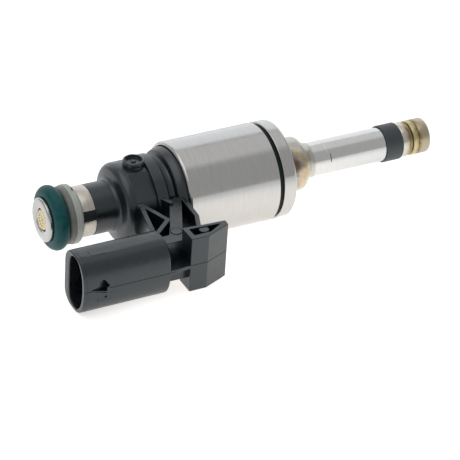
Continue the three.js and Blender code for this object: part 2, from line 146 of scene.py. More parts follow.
def rectangle(x0, x1, low, high):
    return [(x0, low), (x1, low), (x1, high), (x0, high)]


def fillet(outline, radius, steps=4):
    """Rounds the corners of a closed outline; a corner's third value is a radius of its own."""
    rounded = []
    for i, corner in enumerate(outline):
        here = Vector(corner[:2])
        before = Vector(outline[i - 1][:2]) - here
        after = Vector(outline[(i + 1) % len(outline)][:2]) - here
        wanted = corner[2] if len(corner) > 2 else radius
        angle = before.angle(after)
        if wanted <= 0 or angle > NEARLY_STRAIGHT:
            rounded.append(here)
            continue
        limit = SHARE_OF_EDGE * min(before.length, after.length)
        reach = min(wanted / math.tan(angle / 2), limit)
        start, end = here + before.normalized() * reach, here + after.normalized() * reach
        bow = 1 - math.sin(angle / 2)
        for k in range(steps + 1):
            t = k / steps
            chord = start.lerp(end, t)
            rounded.append(chord.lerp(here, 4 * t * (1 - t) * bow))
    return rounded


def inset(outline, distance):
    """Moves every edge of a closed outline inwards."""
    following = outline[1:] + outline[:1]
    turn = math.copysign(1, sum(a.cross(b) for a, b in zip(outline, following)))
    moved = []
    for before, here, after in zip(outline[-1:] + outline[:-1], outline, following):
        first, second = (here - before).normalized(), (after - here).normalized()
        inward = Vector((-first.y, first.x)) * turn + Vector((-second.y, second.x)) * turn
        moved.append(here + inward * (distance * 2 / inward.length_squared))
    return moved


# ---------------------------------------------------------------- solids


def solid(name, points, faces):
    """A closed mesh, with its faces turned out."""
    data = bpy.data.meshes.new(name)
    data.from_pydata(points, [], faces)
    work = bmesh.new()
    work.from_mesh(data)
    bmesh.ops.remove_doubles(work, verts=work.verts, dist=MERGE_DISTANCE)
    bmesh.ops.recalc_face_normals(work, faces=work.faces)
    work.to_mesh(data)
    work.free()
    obj = bpy.data.objects.new(name, data)
    bpy.context.scene.collection.objects.link(obj)
    return obj


def loft(name, rings, closed=False):
    """Skins rings that all have the same number of points, and caps the ends or joins them."""
    count = len(rings[0])
    points = [point for ring in rings for point in ring]
    faces = []
    for i in range(len(rings) if closed else len(rings) - 1):
        following = (i + 1) % len(rings) * count
        for j in range(count):
            k = (j + 1) % count
            faces.append([i * count + j, i * count + k, following + k, following + j])
    if not closed:
        faces.append(list(range(count)))
        faces.append(list(range(len(points) - count, len(points))))
    return solid(name, points, faces)


def turned(name, profile, radius=0.12, facets=180):
    """Turns a closed profile of (x, r) about the x axis; a point at r = 0 is a pole."""
    profile = [(x, r, 0) if r == 0 else (x, r, *own) for x, r, *own in profile]
    rounded = fillet(profile, radius)
    points, starts = [], []
    for x, r in rounded:
        starts.append((len(points), r < 1e-6))
        turns = [0] if r < 1e-6 else [2 * math.pi * k / facets for k in range(facets)]
        points += [(x, -r * math.cos(a), r * math.sin(a)) for a in turns]
    faces = []
    for (a, a_pole), (b, b_pole) in zip(starts, starts[1:] + starts[:1]):
        for k in range(0 if a_pole and b_pole else facets):
            m = (k + 1) % facets
            if a_pole:
                faces.append([a, b + k, b + m])
            elif b_pole:
                faces.append([a + k, b, a + m])
            else:
                faces.append([a + k, b + k, b + m, a + m])
    return solid(name, points, faces)


def tube(name, x0, x1, inner, outer, radius=0.12, facets=180):
    return turned(name, [(x0, inner), (x0, outer), (x1, outer), (x1, inner)], radius, facets)


def along_v(a, b, height):
    """An outline in (x, n), raised along v."""
    return (a, -b, height)


def along_n(a, b, height):
    """An outline in (x, v), raised along n."""
    return (a, -height, b)


def slab(name, outline, low, high, edge=0.12, corner=0.15, to=along_v):
    """A plate with rounded corners and rounded rims."""
    base = fillet(outline, corner)
    steps = 3
    levels = []
    for share in [k / steps for k in range(steps + 1)]:
        step_in = edge * (1 - math.sin(share * QUARTER))
        levels.append((step_in, low + edge * (1 - math.cos(share * QUARTER))))
    levels += [(step_in, high + low - height) for step_in, height in reversed(levels)]
    rings = [[to(*point, height) for point in inset(base, step_in)] for step_in, height in levels]
    return loft(name, rings)


def bar(name, start, end, width, low, high, edge=0.12):
    """A straight rib from one (x, n) to another."""
    start, end = Vector(start), Vector(end)
    side = (end - start).normalized().orthogonal() * (width / 2)
    corners = [start + side, end + side, end - side, start - side]
    return slab(name, [tuple(corner) for corner in corners], low, high, edge)


def post(name, x, n, radius, low, high, edge=0.12, facets=64, to=along_v):
    turns = [2 * math.pi * k / facets for k in range(facets)]
    outline = [(x + radius * math.cos(a), n + radius * math.sin(a)) for a in turns]
    return slab(name, outline, low, high, edge, 0, to)


def ring_groove(x, n, inner, outer, low, high, facets=64):
    """An upright tube that cuts a round groove."""
    rings = []
    for a in [2 * math.pi * k / facets for k in range(facets)]:
        section = rectangle(inner, outer, low, high)
        rings.append([(x + r * math.cos(a), r * math.sin(a) - n, v) for r, v in section])
    return loft("ring_groove", rings, closed=True)


def combine(target, tools, operation):
    """Joins or cuts solids, and keeps the result in the first one."""
    for tool in tools:
        modifier = target.modifiers.new("combine", "BOOLEAN")
        modifier.operation = operation
        modifier.solver = "MANIFOLD"
        modifier.object = tool
        graph = bpy.context.evaluated_depsgraph_get()
        data = bpy.data.meshes.new_from_object(target.evaluated_get(graph))
        target.modifiers.clear()
        target.data = data
        bpy.data.objects.remove(tool)
    return target


def roll_about_axis(obj, degrees):
    obj.data.transform(Matrix.Rotation(math.radians(degrees), 4, "X"))
    return obj


def drill(x0, x1, radius, facets=180):
    """A round bar along the axis."""
    return turned("drill", [(x0, 0), (x0, radius), (x1, radius), (x1, 0)], 0, facets)


def drill_circle(count, circle, x0, x1, radius, facets):
    """Bars on a circle about the axis."""
    drills = []
    for k in range(count):
        one = drill(x0, x1, radius, facets)
        one.data.transform(Matrix.Translation((0, 0, circle)))
        drills.append(roll_about_axis(one, 360 * k / count))
    return drills


def show(obj, material, slot, *nodes, body="root"):
    """Puts a finished solid in its place and lets it stand for its CAD nodes."""
    obj.data.transform(PLACE)
    obj.data.materials.clear()
    obj.data.materials.append(material)
    obj.data.shade_smooth()
    obj.data.set_sharp_from_angle(angle=SHARP_ANGLE)
    weighted = obj.modifiers.new("weighted_normals", "WEIGHTED_NORMAL")
    weighted.keep_sharp = True
    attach(obj, body)
    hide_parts(*nodes)
    return obj


# ---------------------------------------------------------------- material graph


class Graph:
    """A new material, with a short way to add nodes to it."""

    def __init__(self, name, **settings):
        self.material = bpy.data.materials.new(name)
        self.material.use_nodes = True
        self.tree = self.material.node_tree
        self.shader = self.tree.nodes["Principled BSDF"]
        for socket, value in settings.items():
            self.shader.inputs[socket.replace("_", " ")].default_value = value

    def add(self, kind, inputs=None, **settings):
        node = self.tree.nodes.new(kind)
        for key, value in settings.items():
            setattr(node, key, value)
        for socket, value in (inputs or {}).items():
            self.feed(node.inputs[socket], value)
        return node

    def feed(self, socket, value):
        if isinstance(value, bpy.types.NodeSocket):
            self.tree.links.new(value, socket)
        else:
            socket.default_value = value

    def out(self, socket, value):
        self.feed(self.shader.inputs[socket], value)

    def maths(self, operation, a, b=0.0, c=0.0):
        return self.add("ShaderNodeMath", {0: a, 1: b, 2: c}, operation=operation).outputs[0]

    def vector(self, operation, inputs, output=0):
        return self.add("ShaderNodeVectorMath", inputs, operation=operation).outputs[output]

    def place(self):
        """The injector's own coordinates, in millimetres."""
        here = self.add("ShaderNodeTexCoord").outputs["Object"]
        inputs = {"Vector": here, "Location": ORIGIN, "Rotation": (ROLL, 0, 0), "Scale": (MM, MM, MM)}
        return self.add("ShaderNodeMapping", inputs, vector_type="TEXTURE").outputs[0]

    def noise(self, vector, scale, detail=3.0, roughness=0.55, distortion=0.0):
        inputs = {"Vector": vector, "Scale": scale, "Detail": detail, "Roughness": roughness,
                  "Distortion": distortion}
        return self.add("ShaderNodeTexNoise", inputs).outputs[0]

    def stretch(self, value, low, high, new_low=0.0, new_high=1.0):
        inputs = {"Value": value, "From Min": low, "From Max": high, "To Min": new_low, "To Max": new_high}
        return self.add("ShaderNodeMapRange", inputs, interpolation_type="SMOOTHSTEP").outputs[0]

    def mix(self, factor, a, b, blend="MIX"):
        node = self.add("ShaderNodeMix", data_type="RGBA", blend_type=blend)
        for socket, value in ((node.inputs[0], factor), (node.inputs[6], a), (node.inputs[7], b)):
            self.feed(socket, (*value, 1) if isinstance(value, tuple) else value)
        return node.outputs[2]

    def bump(self, height, distance, strength=1.0, under=None):
        inputs = {"Height": height, "Distance": distance, "Strength": strength}
        if under:
            inputs["Normal"] = under
        return self.add("ShaderNodeBump", inputs).outputs[0]


def axial_parts(graph, place):
    """x, the radius, and the direction round the axis, from the injector's own coordinates."""
    split = graph.add("ShaderNodeSeparateXYZ", {0: place}).outputs
    flat = graph.add("ShaderNodeCombineXYZ", {1: split[1], 2: split[2]}).outputs[0]
    radius = graph.vector("LENGTH", {0: flat}, "Value")
    around = graph.vector("NORMALIZE", {0: flat})
    return split[0], radius, around


def ring_noise(graph, x, radius, around, lines, round_lines):
    """Noise drawn out round the axis, as turning or brushing leaves it."""
    first = graph.maths("MULTIPLY", graph.maths("ADD", x, radius), lines)
    side = graph.vector("SCALE", {0: around, "Scale": round_lines})
    split = graph.add("ShaderNodeSeparateXYZ", {0: side}).outputs
    vector = graph.add("ShaderNodeCombineXYZ", {0: first, 1: split[1], 2: split[2]}).outputs[0]
    return graph.noise(vector, 1.0, 3.0, 0.6)


# ---------------------------------------------------------------- materials


def shade(colour, factor, lift=0.0):
    return tuple(channel * factor + lift for channel in colour)


def turned_steel(name, colour, roughness=0.3, lines=5.0, streaks=1.0, tint=None):
    """Turned or brushed steel: fine rings, faint streaks, a few scuffs and an optional heat tint."""
    graph = Graph(name, Metallic=1.0, Anisotropic=0.6, Anisotropic_Rotation=0.25)
    graph.out("Tangent", graph.add("ShaderNodeTangent", direction_type="RADIAL", axis="X").outputs[0])
    place = graph.place()
    x, radius, around = axial_parts(graph, place)
    fine = ring_noise(graph, x, radius, around, lines * 4, 2.5)
    broad = ring_noise(graph, x, radius, around, lines * 0.45, 3.5)
    scuffs = graph.noise(place, 0.55, 5.0, 0.65, 0.6)
    dark = shade(colour, 1 - 0.16 * streaks)
    light = tuple(min(1.0, channel * (1 + 0.07 * streaks)) for channel in colour)
    base = graph.mix(graph.stretch(fine, 0.25, 0.75), dark, light)
    base = graph.mix(graph.stretch(broad, 0.3, 0.7, 0.0, 0.35), base, dark)
    if tint:
        base = tint(graph, base, x, around, place)
    graph.out("Base Color", base)
    fine_part = graph.stretch(fine, 0.2, 0.8, -0.04, 0.05)
    scuffed_part = graph.stretch(scuffs, 0.35, 0.75, roughness - 0.03, roughness + 0.07)
    graph.out("Roughness", graph.maths("ADD", fine_part, scuffed_part))
    graph.out("Normal", graph.bump(fine, 0.000006, 0.5, graph.bump(broad, 0.00001, 0.25)))
    return graph.material


def ramp(graph, factor, stops):
    node = graph.add("ShaderNodeValToRGB", {0: factor})
    elements = node.color_ramp.elements
    while len(elements) < len(stops):
        elements.new(0.5)
    for element, (position, colour) in zip(elements, stops):
        element.position = position
        element.color = (*colour, 1)
    return node.outputs[0]


WELD_ANGLE = math.radians(14)
WELD_SIDE = (0, -math.cos(WELD_ANGLE), math.sin(WELD_ANGLE))
WELD_COLOURS = [
    (0.0, (0.6, 0.44, 0.24)), (0.14, (0.36, 0.2, 0.09)), (0.3, (0.12, 0.065, 0.035)),
    (0.5, (0.22, 0.15, 0.1)), (0.6, (0.3, 0.31, 0.36)), (0.7, (0.5, 0.37, 0.2)),
    (0.85, (0.52, 0.46, 0.33)), (1.0, (0.52, 0.5, 0.44)),
]
TIP_COLOURS = [
    (0.0, (0.62, 0.59, 0.52)), (0.16, (0.56, 0.5, 0.38)), (0.25, (0.3, 0.2, 0.1)),
    (0.31, (0.22, 0.14, 0.07)), (0.38, (0.44, 0.37, 0.2)), (0.46, (0.54, 0.48, 0.23)),
    (0.54, (0.44, 0.36, 0.16)), (0.61, (0.13, 0.07, 0.03)), (0.68, (0.36, 0.29, 0.17)),
    (0.74, (0.42, 0.36, 0.25)), (1.0, (0.42, 0.37, 0.26)),
]


def weld_tint(graph, base, x, around, place):
    """Temper colours round the weld beside the cover, reaching furthest on one side."""
    towards = graph.vector("DOT_PRODUCT", {0: around, 1: WELD_SIDE}, "Value")
    patch = graph.stretch(towards, 0.45, 0.95, 0.0, 1.0)
    wander = graph.noise(place, 0.5, 2.0, 0.5, 0.3)
    reach = graph.maths("MULTIPLY_ADD", patch, 4.2, 1.7)
    along = graph.maths("DIVIDE", graph.maths("SUBTRACT", x, COVER_END - 0.3), reach)
    along = graph.maths("ADD", along, graph.stretch(wander, 0.3, 0.7, -0.16, 0.16))
    colours = ramp(graph, along, WELD_COLOURS)
    amount = graph.stretch(along, 0.95, 1.7, 0.92, 0.0)
    return graph.mix(amount, base, colours)


def tip_tint(graph, base, x, _, place):
    """Baked-on tan film from the support ring to the tip, brown in its grooves."""
    share = graph.maths("DIVIDE", graph.maths("SUBTRACT", x, RING_END), TIP_END - RING_END)
    wander = graph.noise(place, 1.1, 3.0, 0.6, 0.4)
    share = graph.maths("ADD", share, graph.stretch(wander, 0.25, 0.75, -0.03, 0.03))
    colours = ramp(graph, share, TIP_COLOURS)
    return graph.mix(graph.stretch(share, -0.02, 0.1, 0.0, 0.92), base, colours)


def moulded_plastic(name, colour, roughness=0.42, grain=1.0):
    """Glass-filled plastic: a fine moulded grain, faint flow marks and paler worn spots."""
    graph = Graph(name, IOR=1.68, Specular_Tint=(0.88, 0.96, 1.0, 1))
    place = graph.place()
    grit = graph.noise(place, 9.0, 4.0, 0.65)
    flow = graph.noise(place, 0.35, 4.0, 0.6, 1.2)
    worn = graph.noise(place, 1.6, 5.0, 0.7, 0.3)
    base = graph.mix(graph.stretch(flow, 0.3, 0.75, 0.0, 0.5), colour, shade(colour, 1.5, 0.002))
    base = graph.mix(graph.stretch(worn, 0.6, 0.78, 0.0, 0.35), base, shade(colour, 2, 0.004))
    graph.out("Base Color", base)
    graph.out("Roughness", graph.stretch(flow, 0.25, 0.75, roughness - 0.05, roughness + 0.08))
    graph.out("Normal", graph.bump(grit, 0.00002 * grain, 0.45, graph.bump(worn, 0.00003 * grain, 0.2)))
    return graph.material


def rubber(name, colour, roughness=0.45):
    """Moulded rubber: satin, with a faint bloom and a fine grain."""
    graph = Graph(name, IOR=1.34, Specular_Tint=(0.7, 1.0, 1.0, 1))
    place = graph.place()
    grit = graph.noise(place, 7.0, 3.0, 0.6)
    bloom = graph.noise(place, 0.8, 4.0, 0.6, 0.8)
    bloomed = graph.stretch(bloom, 0.35, 0.75, 0.0, 0.7)
    graph.out("Base Color", graph.mix(bloomed, colour, shade(colour, 1.45, 0.006)))
    graph.out("Roughness", graph.stretch(bloom, 0.3, 0.7, roughness - 0.06, roughness + 0.08))
    graph.out("Normal", graph.bump(grit, 0.00002, 0.35))
    return graph.material


def pale_plastic(name, colour, roughness=0.38, painted_shade_to=None):
    """Pale, slightly translucent plastic with turning lines, and painted shade that darkens it along the
    axis up to a given x.
    """
    graph = Graph(name, IOR=1.38, Subsurface_Weight=0.12, Subsurface_Scale=0.0008)
    place = graph.place()
    x, radius, around = axial_parts(graph, place)
    lines = ring_noise(graph, x, radius, around, 9.0, 1.5)
    cloud = graph.noise(place, 0.9, 3.0, 0.6, 0.5)
    base = graph.mix(graph.stretch(lines, 0.3, 0.7), shade(colour, 0.88), colour)
    base = graph.mix(graph.stretch(cloud, 0.4, 0.8, 0.0, 0.3), base, shade(colour, 0.7))
    # painted shade: the part in front of the given x is darkened as a face in shadow would look
    if painted_shade_to:
        painted_shade = graph.stretch(x, painted_shade_to - 0.1, painted_shade_to + 0.1, 0.72, 0.0)
        base = graph.mix(painted_shade, base, shade(colour, 0.2))
    graph.out("Base Color", base)
    graph.out("Roughness", graph.stretch(cloud, 0.3, 0.7, roughness - 0.05, roughness + 0.08))
    graph.out("Normal", graph.bump(lines, 0.00001, 0.4))
    return graph.material


def wire_winding(name, colour, pitch=0.42):
    """Enamelled wire wound round the axis, with painted shade in the grooves between turns."""
    graph = Graph(name, Metallic=1.0)
    place = graph.place()
    x, radius, around = axial_parts(graph, place)
    phase = graph.maths("MULTIPLY", graph.maths("ADD", x, radius), 2 * math.pi / pitch)
    wave = graph.maths("SINE", phase)
    # painted shade: the colour darkens in the grooves between the turns
    graph.out("Base Color", graph.mix(graph.stretch(wave, -1.0, 0.4), shade(colour, 0.35), colour))
    graph.out("Roughness", graph.stretch(graph.noise(place, 1.5), 0.3, 0.7, 0.24, 0.36))
    graph.out("Normal", graph.bump(wave, 0.00008, 0.8))
    return graph.material


STEEL = turned_steel("turned_steel", (0.5, 0.496, 0.487), 0.18, 5.0, 0.65)
NOZZLE_STEEL = turned_steel("nozzle_steel", (0.64, 0.64, 0.635), 0.2, 7.0, 0.6, tip_tint)
WELDED_STEEL = turned_steel("welded_steel", (0.5, 0.485, 0.44), 0.28, 5.0, 0.8, weld_tint)
TIP_STEEL = turned_steel("tip_steel", (0.66, 0.6, 0.5), 0.34, 7.0, 1.0, tip_tint)
SPACER_STEEL = turned_steel("spacer_steel", (0.56, 0.525, 0.475), 0.34, 3.0, 1.6)
MAGNET_STEEL = turned_steel("magnet_steel", (0.5, 0.5, 0.49), 0.36)
SPRING_STEEL = turned_steel("spring_steel", (0.62, 0.62, 0.6), 0.25, 8.0)
BRASS = turned_steel("turned_brass", (0.72, 0.55, 0.26), 0.28)
CONTACT = turned_steel("tinned_contact", (0.7, 0.66, 0.56), 0.3, 2.0)
COPPER = wire_winding("copper_winding", (0.72, 0.36, 0.18))
PLASTIC = moulded_plastic("moulded_plastic", (0.0032, 0.0048, 0.0068), 0.3, 0.6)
BOBBIN = moulded_plastic("bobbin_plastic", (0.03, 0.028, 0.026))
BLACK = moulded_plastic("black_seal", (0.014, 0.017, 0.019), 0.5, 0.6)
GASKET = rubber("black_gasket", (0.003, 0.0035, 0.0035), 0.6)
TEAL = rubber("teal_rubber", (0.002, 0.05, 0.053))
PALE = pale_plastic("backup_plastic", (0.4, 0.42, 0.39), painted_shade_to=BACKUP_STEP)
CREAM = pale_plastic("strainer_plastic", (0.85, 0.72, 0.45))

# ---------------------------------------------------------------- inlet end


def key_tool(name, width, x0, x1, r0, r1):
    """A block at the key's angle round the axis."""
    corners = rectangle(x0, x1, -width / 2, width / 2)
    return roll_about_axis(slab(name, corners, r0, r1, 0.06, 0.06, along_n), -KEY_ANGLE)


def inlet_tube():
    return turned("inlet_tube_body", [
        (0.3, FUEL_R), (0, FUEL_R + 0.3), (0, INLET_R - 0.3), (0.2, INLET_R), (0.8, INLET_R, 0.1),
        (1.0, SEAL_SEAT_R, 0.3), (6.95, SEAL_SEAT_R, 0.05), (6.95, TUBE_R), (29.5, TUBE_R),
        (29.5, FUEL_R)], 0.08)


def o_ring():
    middle = SEAL_SEAT_R + 0.02 + SEAL_SECTION
    section = arc(SEAL_X, middle, SEAL_SECTION, 0, 352.5, 47)
    return turned("inlet_o_ring_body", section, 0, 192)


def backup_ring():
    ring = turned("backup_ring_body", [
        (4.07, SEAL_SEAT_R + 0.08), (4.07, 5.45, 0.25), (4.5, 5.87, 0.2), (BACKUP_STEP - 0.1, 5.95, 0.05),
        (BACKUP_STEP, 5.8, 0.04), (BACKUP_STEP + 0.1, 6.06, 0.08), (5.75, 6.1, 0.05), (5.83, 6.03, 0.03),
        (5.91, 6.1, 0.05), (6.5, 6.06, 0.15), (6.6, 5.86, 0.08), (6.9, 5.7, 0.2),
        (6.9, SEAL_SEAT_R + 0.08)])
    slit_outline = [(6.1, -0.65), (6.5, -0.65), (6.7, 0.65), (6.3, 0.65)]
    slit = slab("slit", slit_outline, 3.6, 7, 0.02, 0.02, along_n)
    return combine(ring, [roll_about_axis(slit, -SLIT_ANGLE)], "DIFFERENCE")


def spacer_ring():
    ring = tube("spacer_ring_body", 7.1, NECK_START - 0.08, TUBE_R + 0.08, NECK_R, 0.06)
    return combine(ring, [key_tool("key_slot", KEY_WIDTH + 0.3, 6, 11, 2, 7)], "DIFFERENCE")


def strainer():
    """A moulded cup whose face has two circles of small pits round a larger one."""
    cup = turned("fuel_strainer_body", [
        (0.3, 0), (0.3, 0.3), (0.42, 0.42), (0.34, 1.2), (0.16, 1.55), (0.12, 1.9), (0.35, 2.12),
        (1.0, 2.12), (1.1, 2.0), (8.4, 2.0), (8.4, 1.5), (1.5, 1.5), (1.5, 0)], 0.06, 96)
    pits = []
    for count, circle in ((8, 0.82), (14, 1.4)):
        pits += drill_circle(count, circle, 0.1, 1.2, 0.17, 12)
    return combine(cup, [*pits, drill(0.1, 1.1, 0.26, 16)], "DIFFERENCE")


# ---------------------------------------------------------------- overmould with the connector

BOSS = {"x": 19.9, "radius": 2.2, "top": 9.5, "dish": 1.7, "depth": 0.55}
FLAT_ANGLE = 50
FLAT_START = 17.4
FLAT_AT = 7.75                                 # the flat's distance from the axis
ARM = {
    "root": (18.2, 7.2), "tip": (20.7, 14.4), "shroud": (16.7, 17.95), "corner": (16.1, 17.3),
    "beam_top": (25.4, 8.2), "beam_end": (20.75, 18.0), "web_top": (27.0, 8.6), "web_knee": (26.6, 15.2),
    "web_end": (25.2, 18.9),
}
RIB = 0.95
BEAM = 2.5
INTO_SHROUD = 15.0                             # the x where the arm's walls end inside the shroud
INTO_BLOCK = 22.3                              # the n where they end inside the block
SHROUD = {"flat": 17.3, "flat_half": 2.8, "shoulder": 21.0, "tip": 22.9, "half": 6.1, "front": 26.3,
          "nose": 1.0, "middle": -0.6}
SOCKET = {"flat": 19.3, "flat_half": 2.2, "shoulder": 21.5, "tip": 22.6, "half": 5.5, "front": 25.25,
          "nose": 1.2, "middle": -0.53}
PAD = {"x": 20.3, "n": 18.9, "radius": 1.15}
SEAM = 0.11
SEAM_DEPTH = 0.16
SHROUD_SEAM_V = -0.3


def overmould():
    bore = TUBE_R + 0.08
    return turned("connector_body_moulding", [
        (NECK_START, bore), (NECK_START, NECK_R, 0.1),
        *curve(NECK_END, NECK_R + 0.9, 0.9, 270, 350, 10),
        *curve(COLLAR_START, COLLAR_R - 1.6, 1.6, 170, 90, 12),
        (COLLAR_END - 0.15, COLLAR_R, 0.1), (COLLAR_END, COLLAR_R - 0.15, 0.05),
        (COLLAR_END + 0.12, BAND_R, 0.1), (BAND_END - 0.3, BAND_R, 0.3), (BAND_END, BAND_R - 0.7, 0.1),
        (BAND_END + 0.15, BAND_R - 1.1, 0.2),
        (FLANGE_START - 0.1, BAND_R - 1.1, 0.25), (FLANGE_START, FLANGE_R - 0.5, 0.25),
        (FLANGE_START + 1.3, FLANGE_R, 0.4), (HOUSING_START + 1.2, FLANGE_R, 0.05),
        (HOUSING_START + 1.2, HOUSING_BORE - 0.08), (HOUSING_START + 3.1, HOUSING_BORE - 0.08),
        (HOUSING_START + 3.1, 4.78), (26.52, 4.78), (26.52, bore)], 0.1, 200)


def lattice():
    """The arm: a middle web with ribs, and the walls that carry the shroud and the block."""
    def rib(start, end, width=RIB, top=ARM_TOP):
        return bar("rib", start, end, width, -ARM_TOP, top)

    web = [(17.7, 6.4), ARM["root"], ARM["corner"], (INTO_SHROUD, 20.0), (INTO_SHROUD, 22.2),
           (24.6, 21.9), ARM["web_end"], ARM["web_knee"], ARM["web_top"], (26.9, 6.4)]
    ledge = [(INTO_SHROUD, 21.0), (INTO_SHROUD, 26.3), (17.5, 26.15), (20.7, 25.8), (20.7, 21.0)]
    platform = [(INTO_SHROUD, 19.45), (18.45, 19.45), (19.6, 17.1), (22.2, 18.2), (24.8, 18.4),
                (25.0, INTO_BLOCK), (INTO_SHROUD, INTO_BLOCK)]
    core = [(INTO_SHROUD, 19.55), (18.6, 19.55), (19.7, 17.8), (24.8, 17.8), (24.8, INTO_BLOCK),
            (INTO_SHROUD, INTO_BLOCK)]
    lower = [(INTO_SHROUD, 19.0), (22.0, 19.0), (21.1, 24.4), (INTO_SHROUD, 24.4)]
    return [
        slab("web", web, -ARM_WEB, ARM_WEB),
        slab("ledge", ledge, -ARM_WEB, 0.1, 0.14),
        slab("platform", platform, 2.0, ARM_TOP, 0.2),
        slab("core", core, -ARM_TOP, 2.2),
        slab("lower", lower, -ARM_TOP, 0),
        rib(ARM["root"], ARM["tip"]),
        rib(ARM["tip"], ARM["shroud"]),
        rib(ARM["root"], ARM["corner"]),
        rib(ARM["beam_top"], ARM["beam_end"], BEAM),
        rib((22.4, 6.9), (23.9, 9.9), top=ARM_TOP + 0.5),
        rib((27.0, 5.6), ARM["web_top"]),
        rib((25.2, 7.6), ARM["web_top"]),
        rib(ARM["web_top"], ARM["web_knee"]),
        rib(ARM["web_knee"], ARM["web_end"]),
        rib(ARM["web_end"], (24.9, INTO_BLOCK)),
        post("knee", *ARM["web_knee"], RIB / 2, -ARM_TOP, ARM_TOP, 0.1, 24),
        post("root", *ARM["root"], 0.85, -ARM_TOP, ARM_TOP + 0.04, 0.15, 32),
        post("tip", *ARM["tip"], RIB / 2, -ARM_TOP, ARM_TOP, 0.1, 24),
        post("pad", PAD["x"], PAD["n"], PAD["radius"], -ARM_TOP, ARM_TOP + 0.1, 0.1),
    ]


def d_section(flat, flat_half, shoulder, tip, half, front, nose, middle):
    """The shroud's section in (n, v), flat towards the injector and round on the outside."""
    low, high = middle - half, middle + half
    outline = quadratic((flat, middle - flat_half), (flat, low), (shoulder, low))
    outline += quadratic((shoulder, low), ((shoulder + tip) / 2, low), (tip, low), 3)
    outline += quadratic((tip, low), (front, low + nose), (front, middle), 14)
    outline += quadratic((front, middle), (front, high - nose), (tip, high), 14)
    outline += quadratic((tip, high), ((shoulder + tip) / 2, high), (shoulder, high), 3)
    outline += quadratic((shoulder, high), (flat, high), (flat, middle + flat_half))
    outline += quadratic((flat, middle + flat_half), (flat, middle), (flat, middle - flat_half), 6)
    return [Vector(point) for point in outline]


def shroud():
    """The plug's shroud: rounded at the back, with a lip round its mouth, and open inside."""
    outer, inner = d_section(**SHROUD), d_section(**SOCKET)
    round_off, steps = 0.55, 5
    rear = []
    for angle in [QUARTER * k / steps for k in range(steps + 1)]:
        x = SHROUD_END - round_off * (1 - math.cos(angle))
        rear.append((x, outer, round_off * (1 - math.sin(angle))))
    lip = [(MOUTH_X + 0.9, outer, 0), (MOUTH_X + 0.84, outer, 0.05), (MOUTH_X + 0.76, outer, 0.05),
           (MOUTH_X + 0.7, outer, 0), (MOUTH_X + 0.18, outer, 0.03), (MOUTH_X, outer, 0.2)]
    inside = [(MOUTH_X, inner, -0.28), (MOUTH_X + 0.08, inner, -0.1), (MOUTH_X + 0.3, inner, 0),
              (SOCKET_FLOOR - 0.2, inner, 0), (SOCKET_FLOOR, inner, 0.2)]
    rings = []
    for x, ring, amount in [*rear, *lip, *inside]:
        rings.append([(x, -n, v) for n, v in inset(ring, amount)])
    return loft("shroud", rings)


def block():
    """The guard block, open at the top round a post."""
    outline = [(BLOCK_START, 21.6), (29.2, 22.1), BLOCK_NOSE, BLOCK_CORNER, (BLOCK_START, BLOCK_FRONT)]
    slot = [(21.15, 22.35), (28.0, 22.8), (24.8, 24.7), (21.2, 24.75)]
    body = slab("block", outline, -BLOCK_HALF, BLOCK_HALF, 0.14, 0.16)
    body = combine(body, [slab("slot", slot, 1.2, BLOCK_HALF + 1, 0.02, 0.15)], "DIFFERENCE")
    slot_post = post("slot_post", 24.0, 23.2, 1.0, 0.5, BLOCK_HALF - 0.15, 0.12, 40)
    return combine(body, [slot_post], "UNION")


def seam_tools():
    """Thin blades that leave the mould's parting line on the shroud and the block."""
    half = SEAM / 2
    tools = []
    for x0, x1 in ((MOUTH_X + 0.2, -1.0), (2.7, SHROUD_END + 1)):
        outline = rectangle(x0, x1, SHROUD["front"] - SEAM_DEPTH, 27)
        tools.append(slab("seam", outline, SHROUD_SEAM_V - half, SHROUD_SEAM_V + half, 0.01, 0))
    path = [(BLOCK_START - 0.6, BLOCK_FRONT), BLOCK_CORNER, BLOCK_NOSE, (29.8, 23.3)]
    outer = [(x + 0.3, n + 0.8) for x, n in path]
    inner = [(x, n - SEAM_DEPTH) for x, n in path]
    tools.append(slab("seam", [*inner, *reversed(outer)], -half, half, 0.01, 0))
    return tools


def latch_tools():
    """The ramp pocket for the plug's latch, with a small hole and a fine line below it."""
    ramp_side = [(-1.5, SHROUD["front"]), (2.7, 25.1), (2.7, 27.5), (-1.5, 27.5)]
    pocket_outline = [(-1.4, -0.05), (1.3, 1.75), (1.75, 1.65), (2.85, 0.15), (2.2, -0.1), (2.15, -0.9)]
    line_outline = [(-0.6, -0.5), (2.2, -1.3), (2.2, -1.12), (-0.6, -0.44)]
    pocket = combine(slab("pocket", ramp_side, -3, 3, 0.02, 0.05),
                     [slab("pocket_side", pocket_outline, 24, 28, 0.02, 0.08, along_n)], "INTERSECT")
    hole = slab("hole", rectangle(1.7, 2.15, -2.3, -1.9), 25.3, 27, 0.02, 0.05, along_n)
    line = slab("line", line_outline, 25.8, 27, 0.01, 0, along_n)
    return [pocket, hole, line]


def boss_and_flat(body):
    """The dished boss with its gate mark, and the flat on the collar."""
    x, top = BOSS["x"], BOSS["top"]
    body = combine(body, [post("boss", x, 0, BOSS["radius"], 6, top, 0.3)], "UNION")
    dish = post("dish", x, 0, BOSS["dish"], top - BOSS["depth"], top + 1, 0.1)
    flat_outline = rectangle(FLAT_START, COLLAR_END - 0.1, -4, 4)
    flat = slab("flat", flat_outline, FLAT_AT, 11, 0.08, 0.1, along_n)
    body = combine(body, [dish, roll_about_axis(flat, -FLAT_ANGLE)], "DIFFERENCE")
    return combine(body, [post("gate", x, 0, 0.5, top - 1, top - 0.3, 0.15, 32)], "UNION")


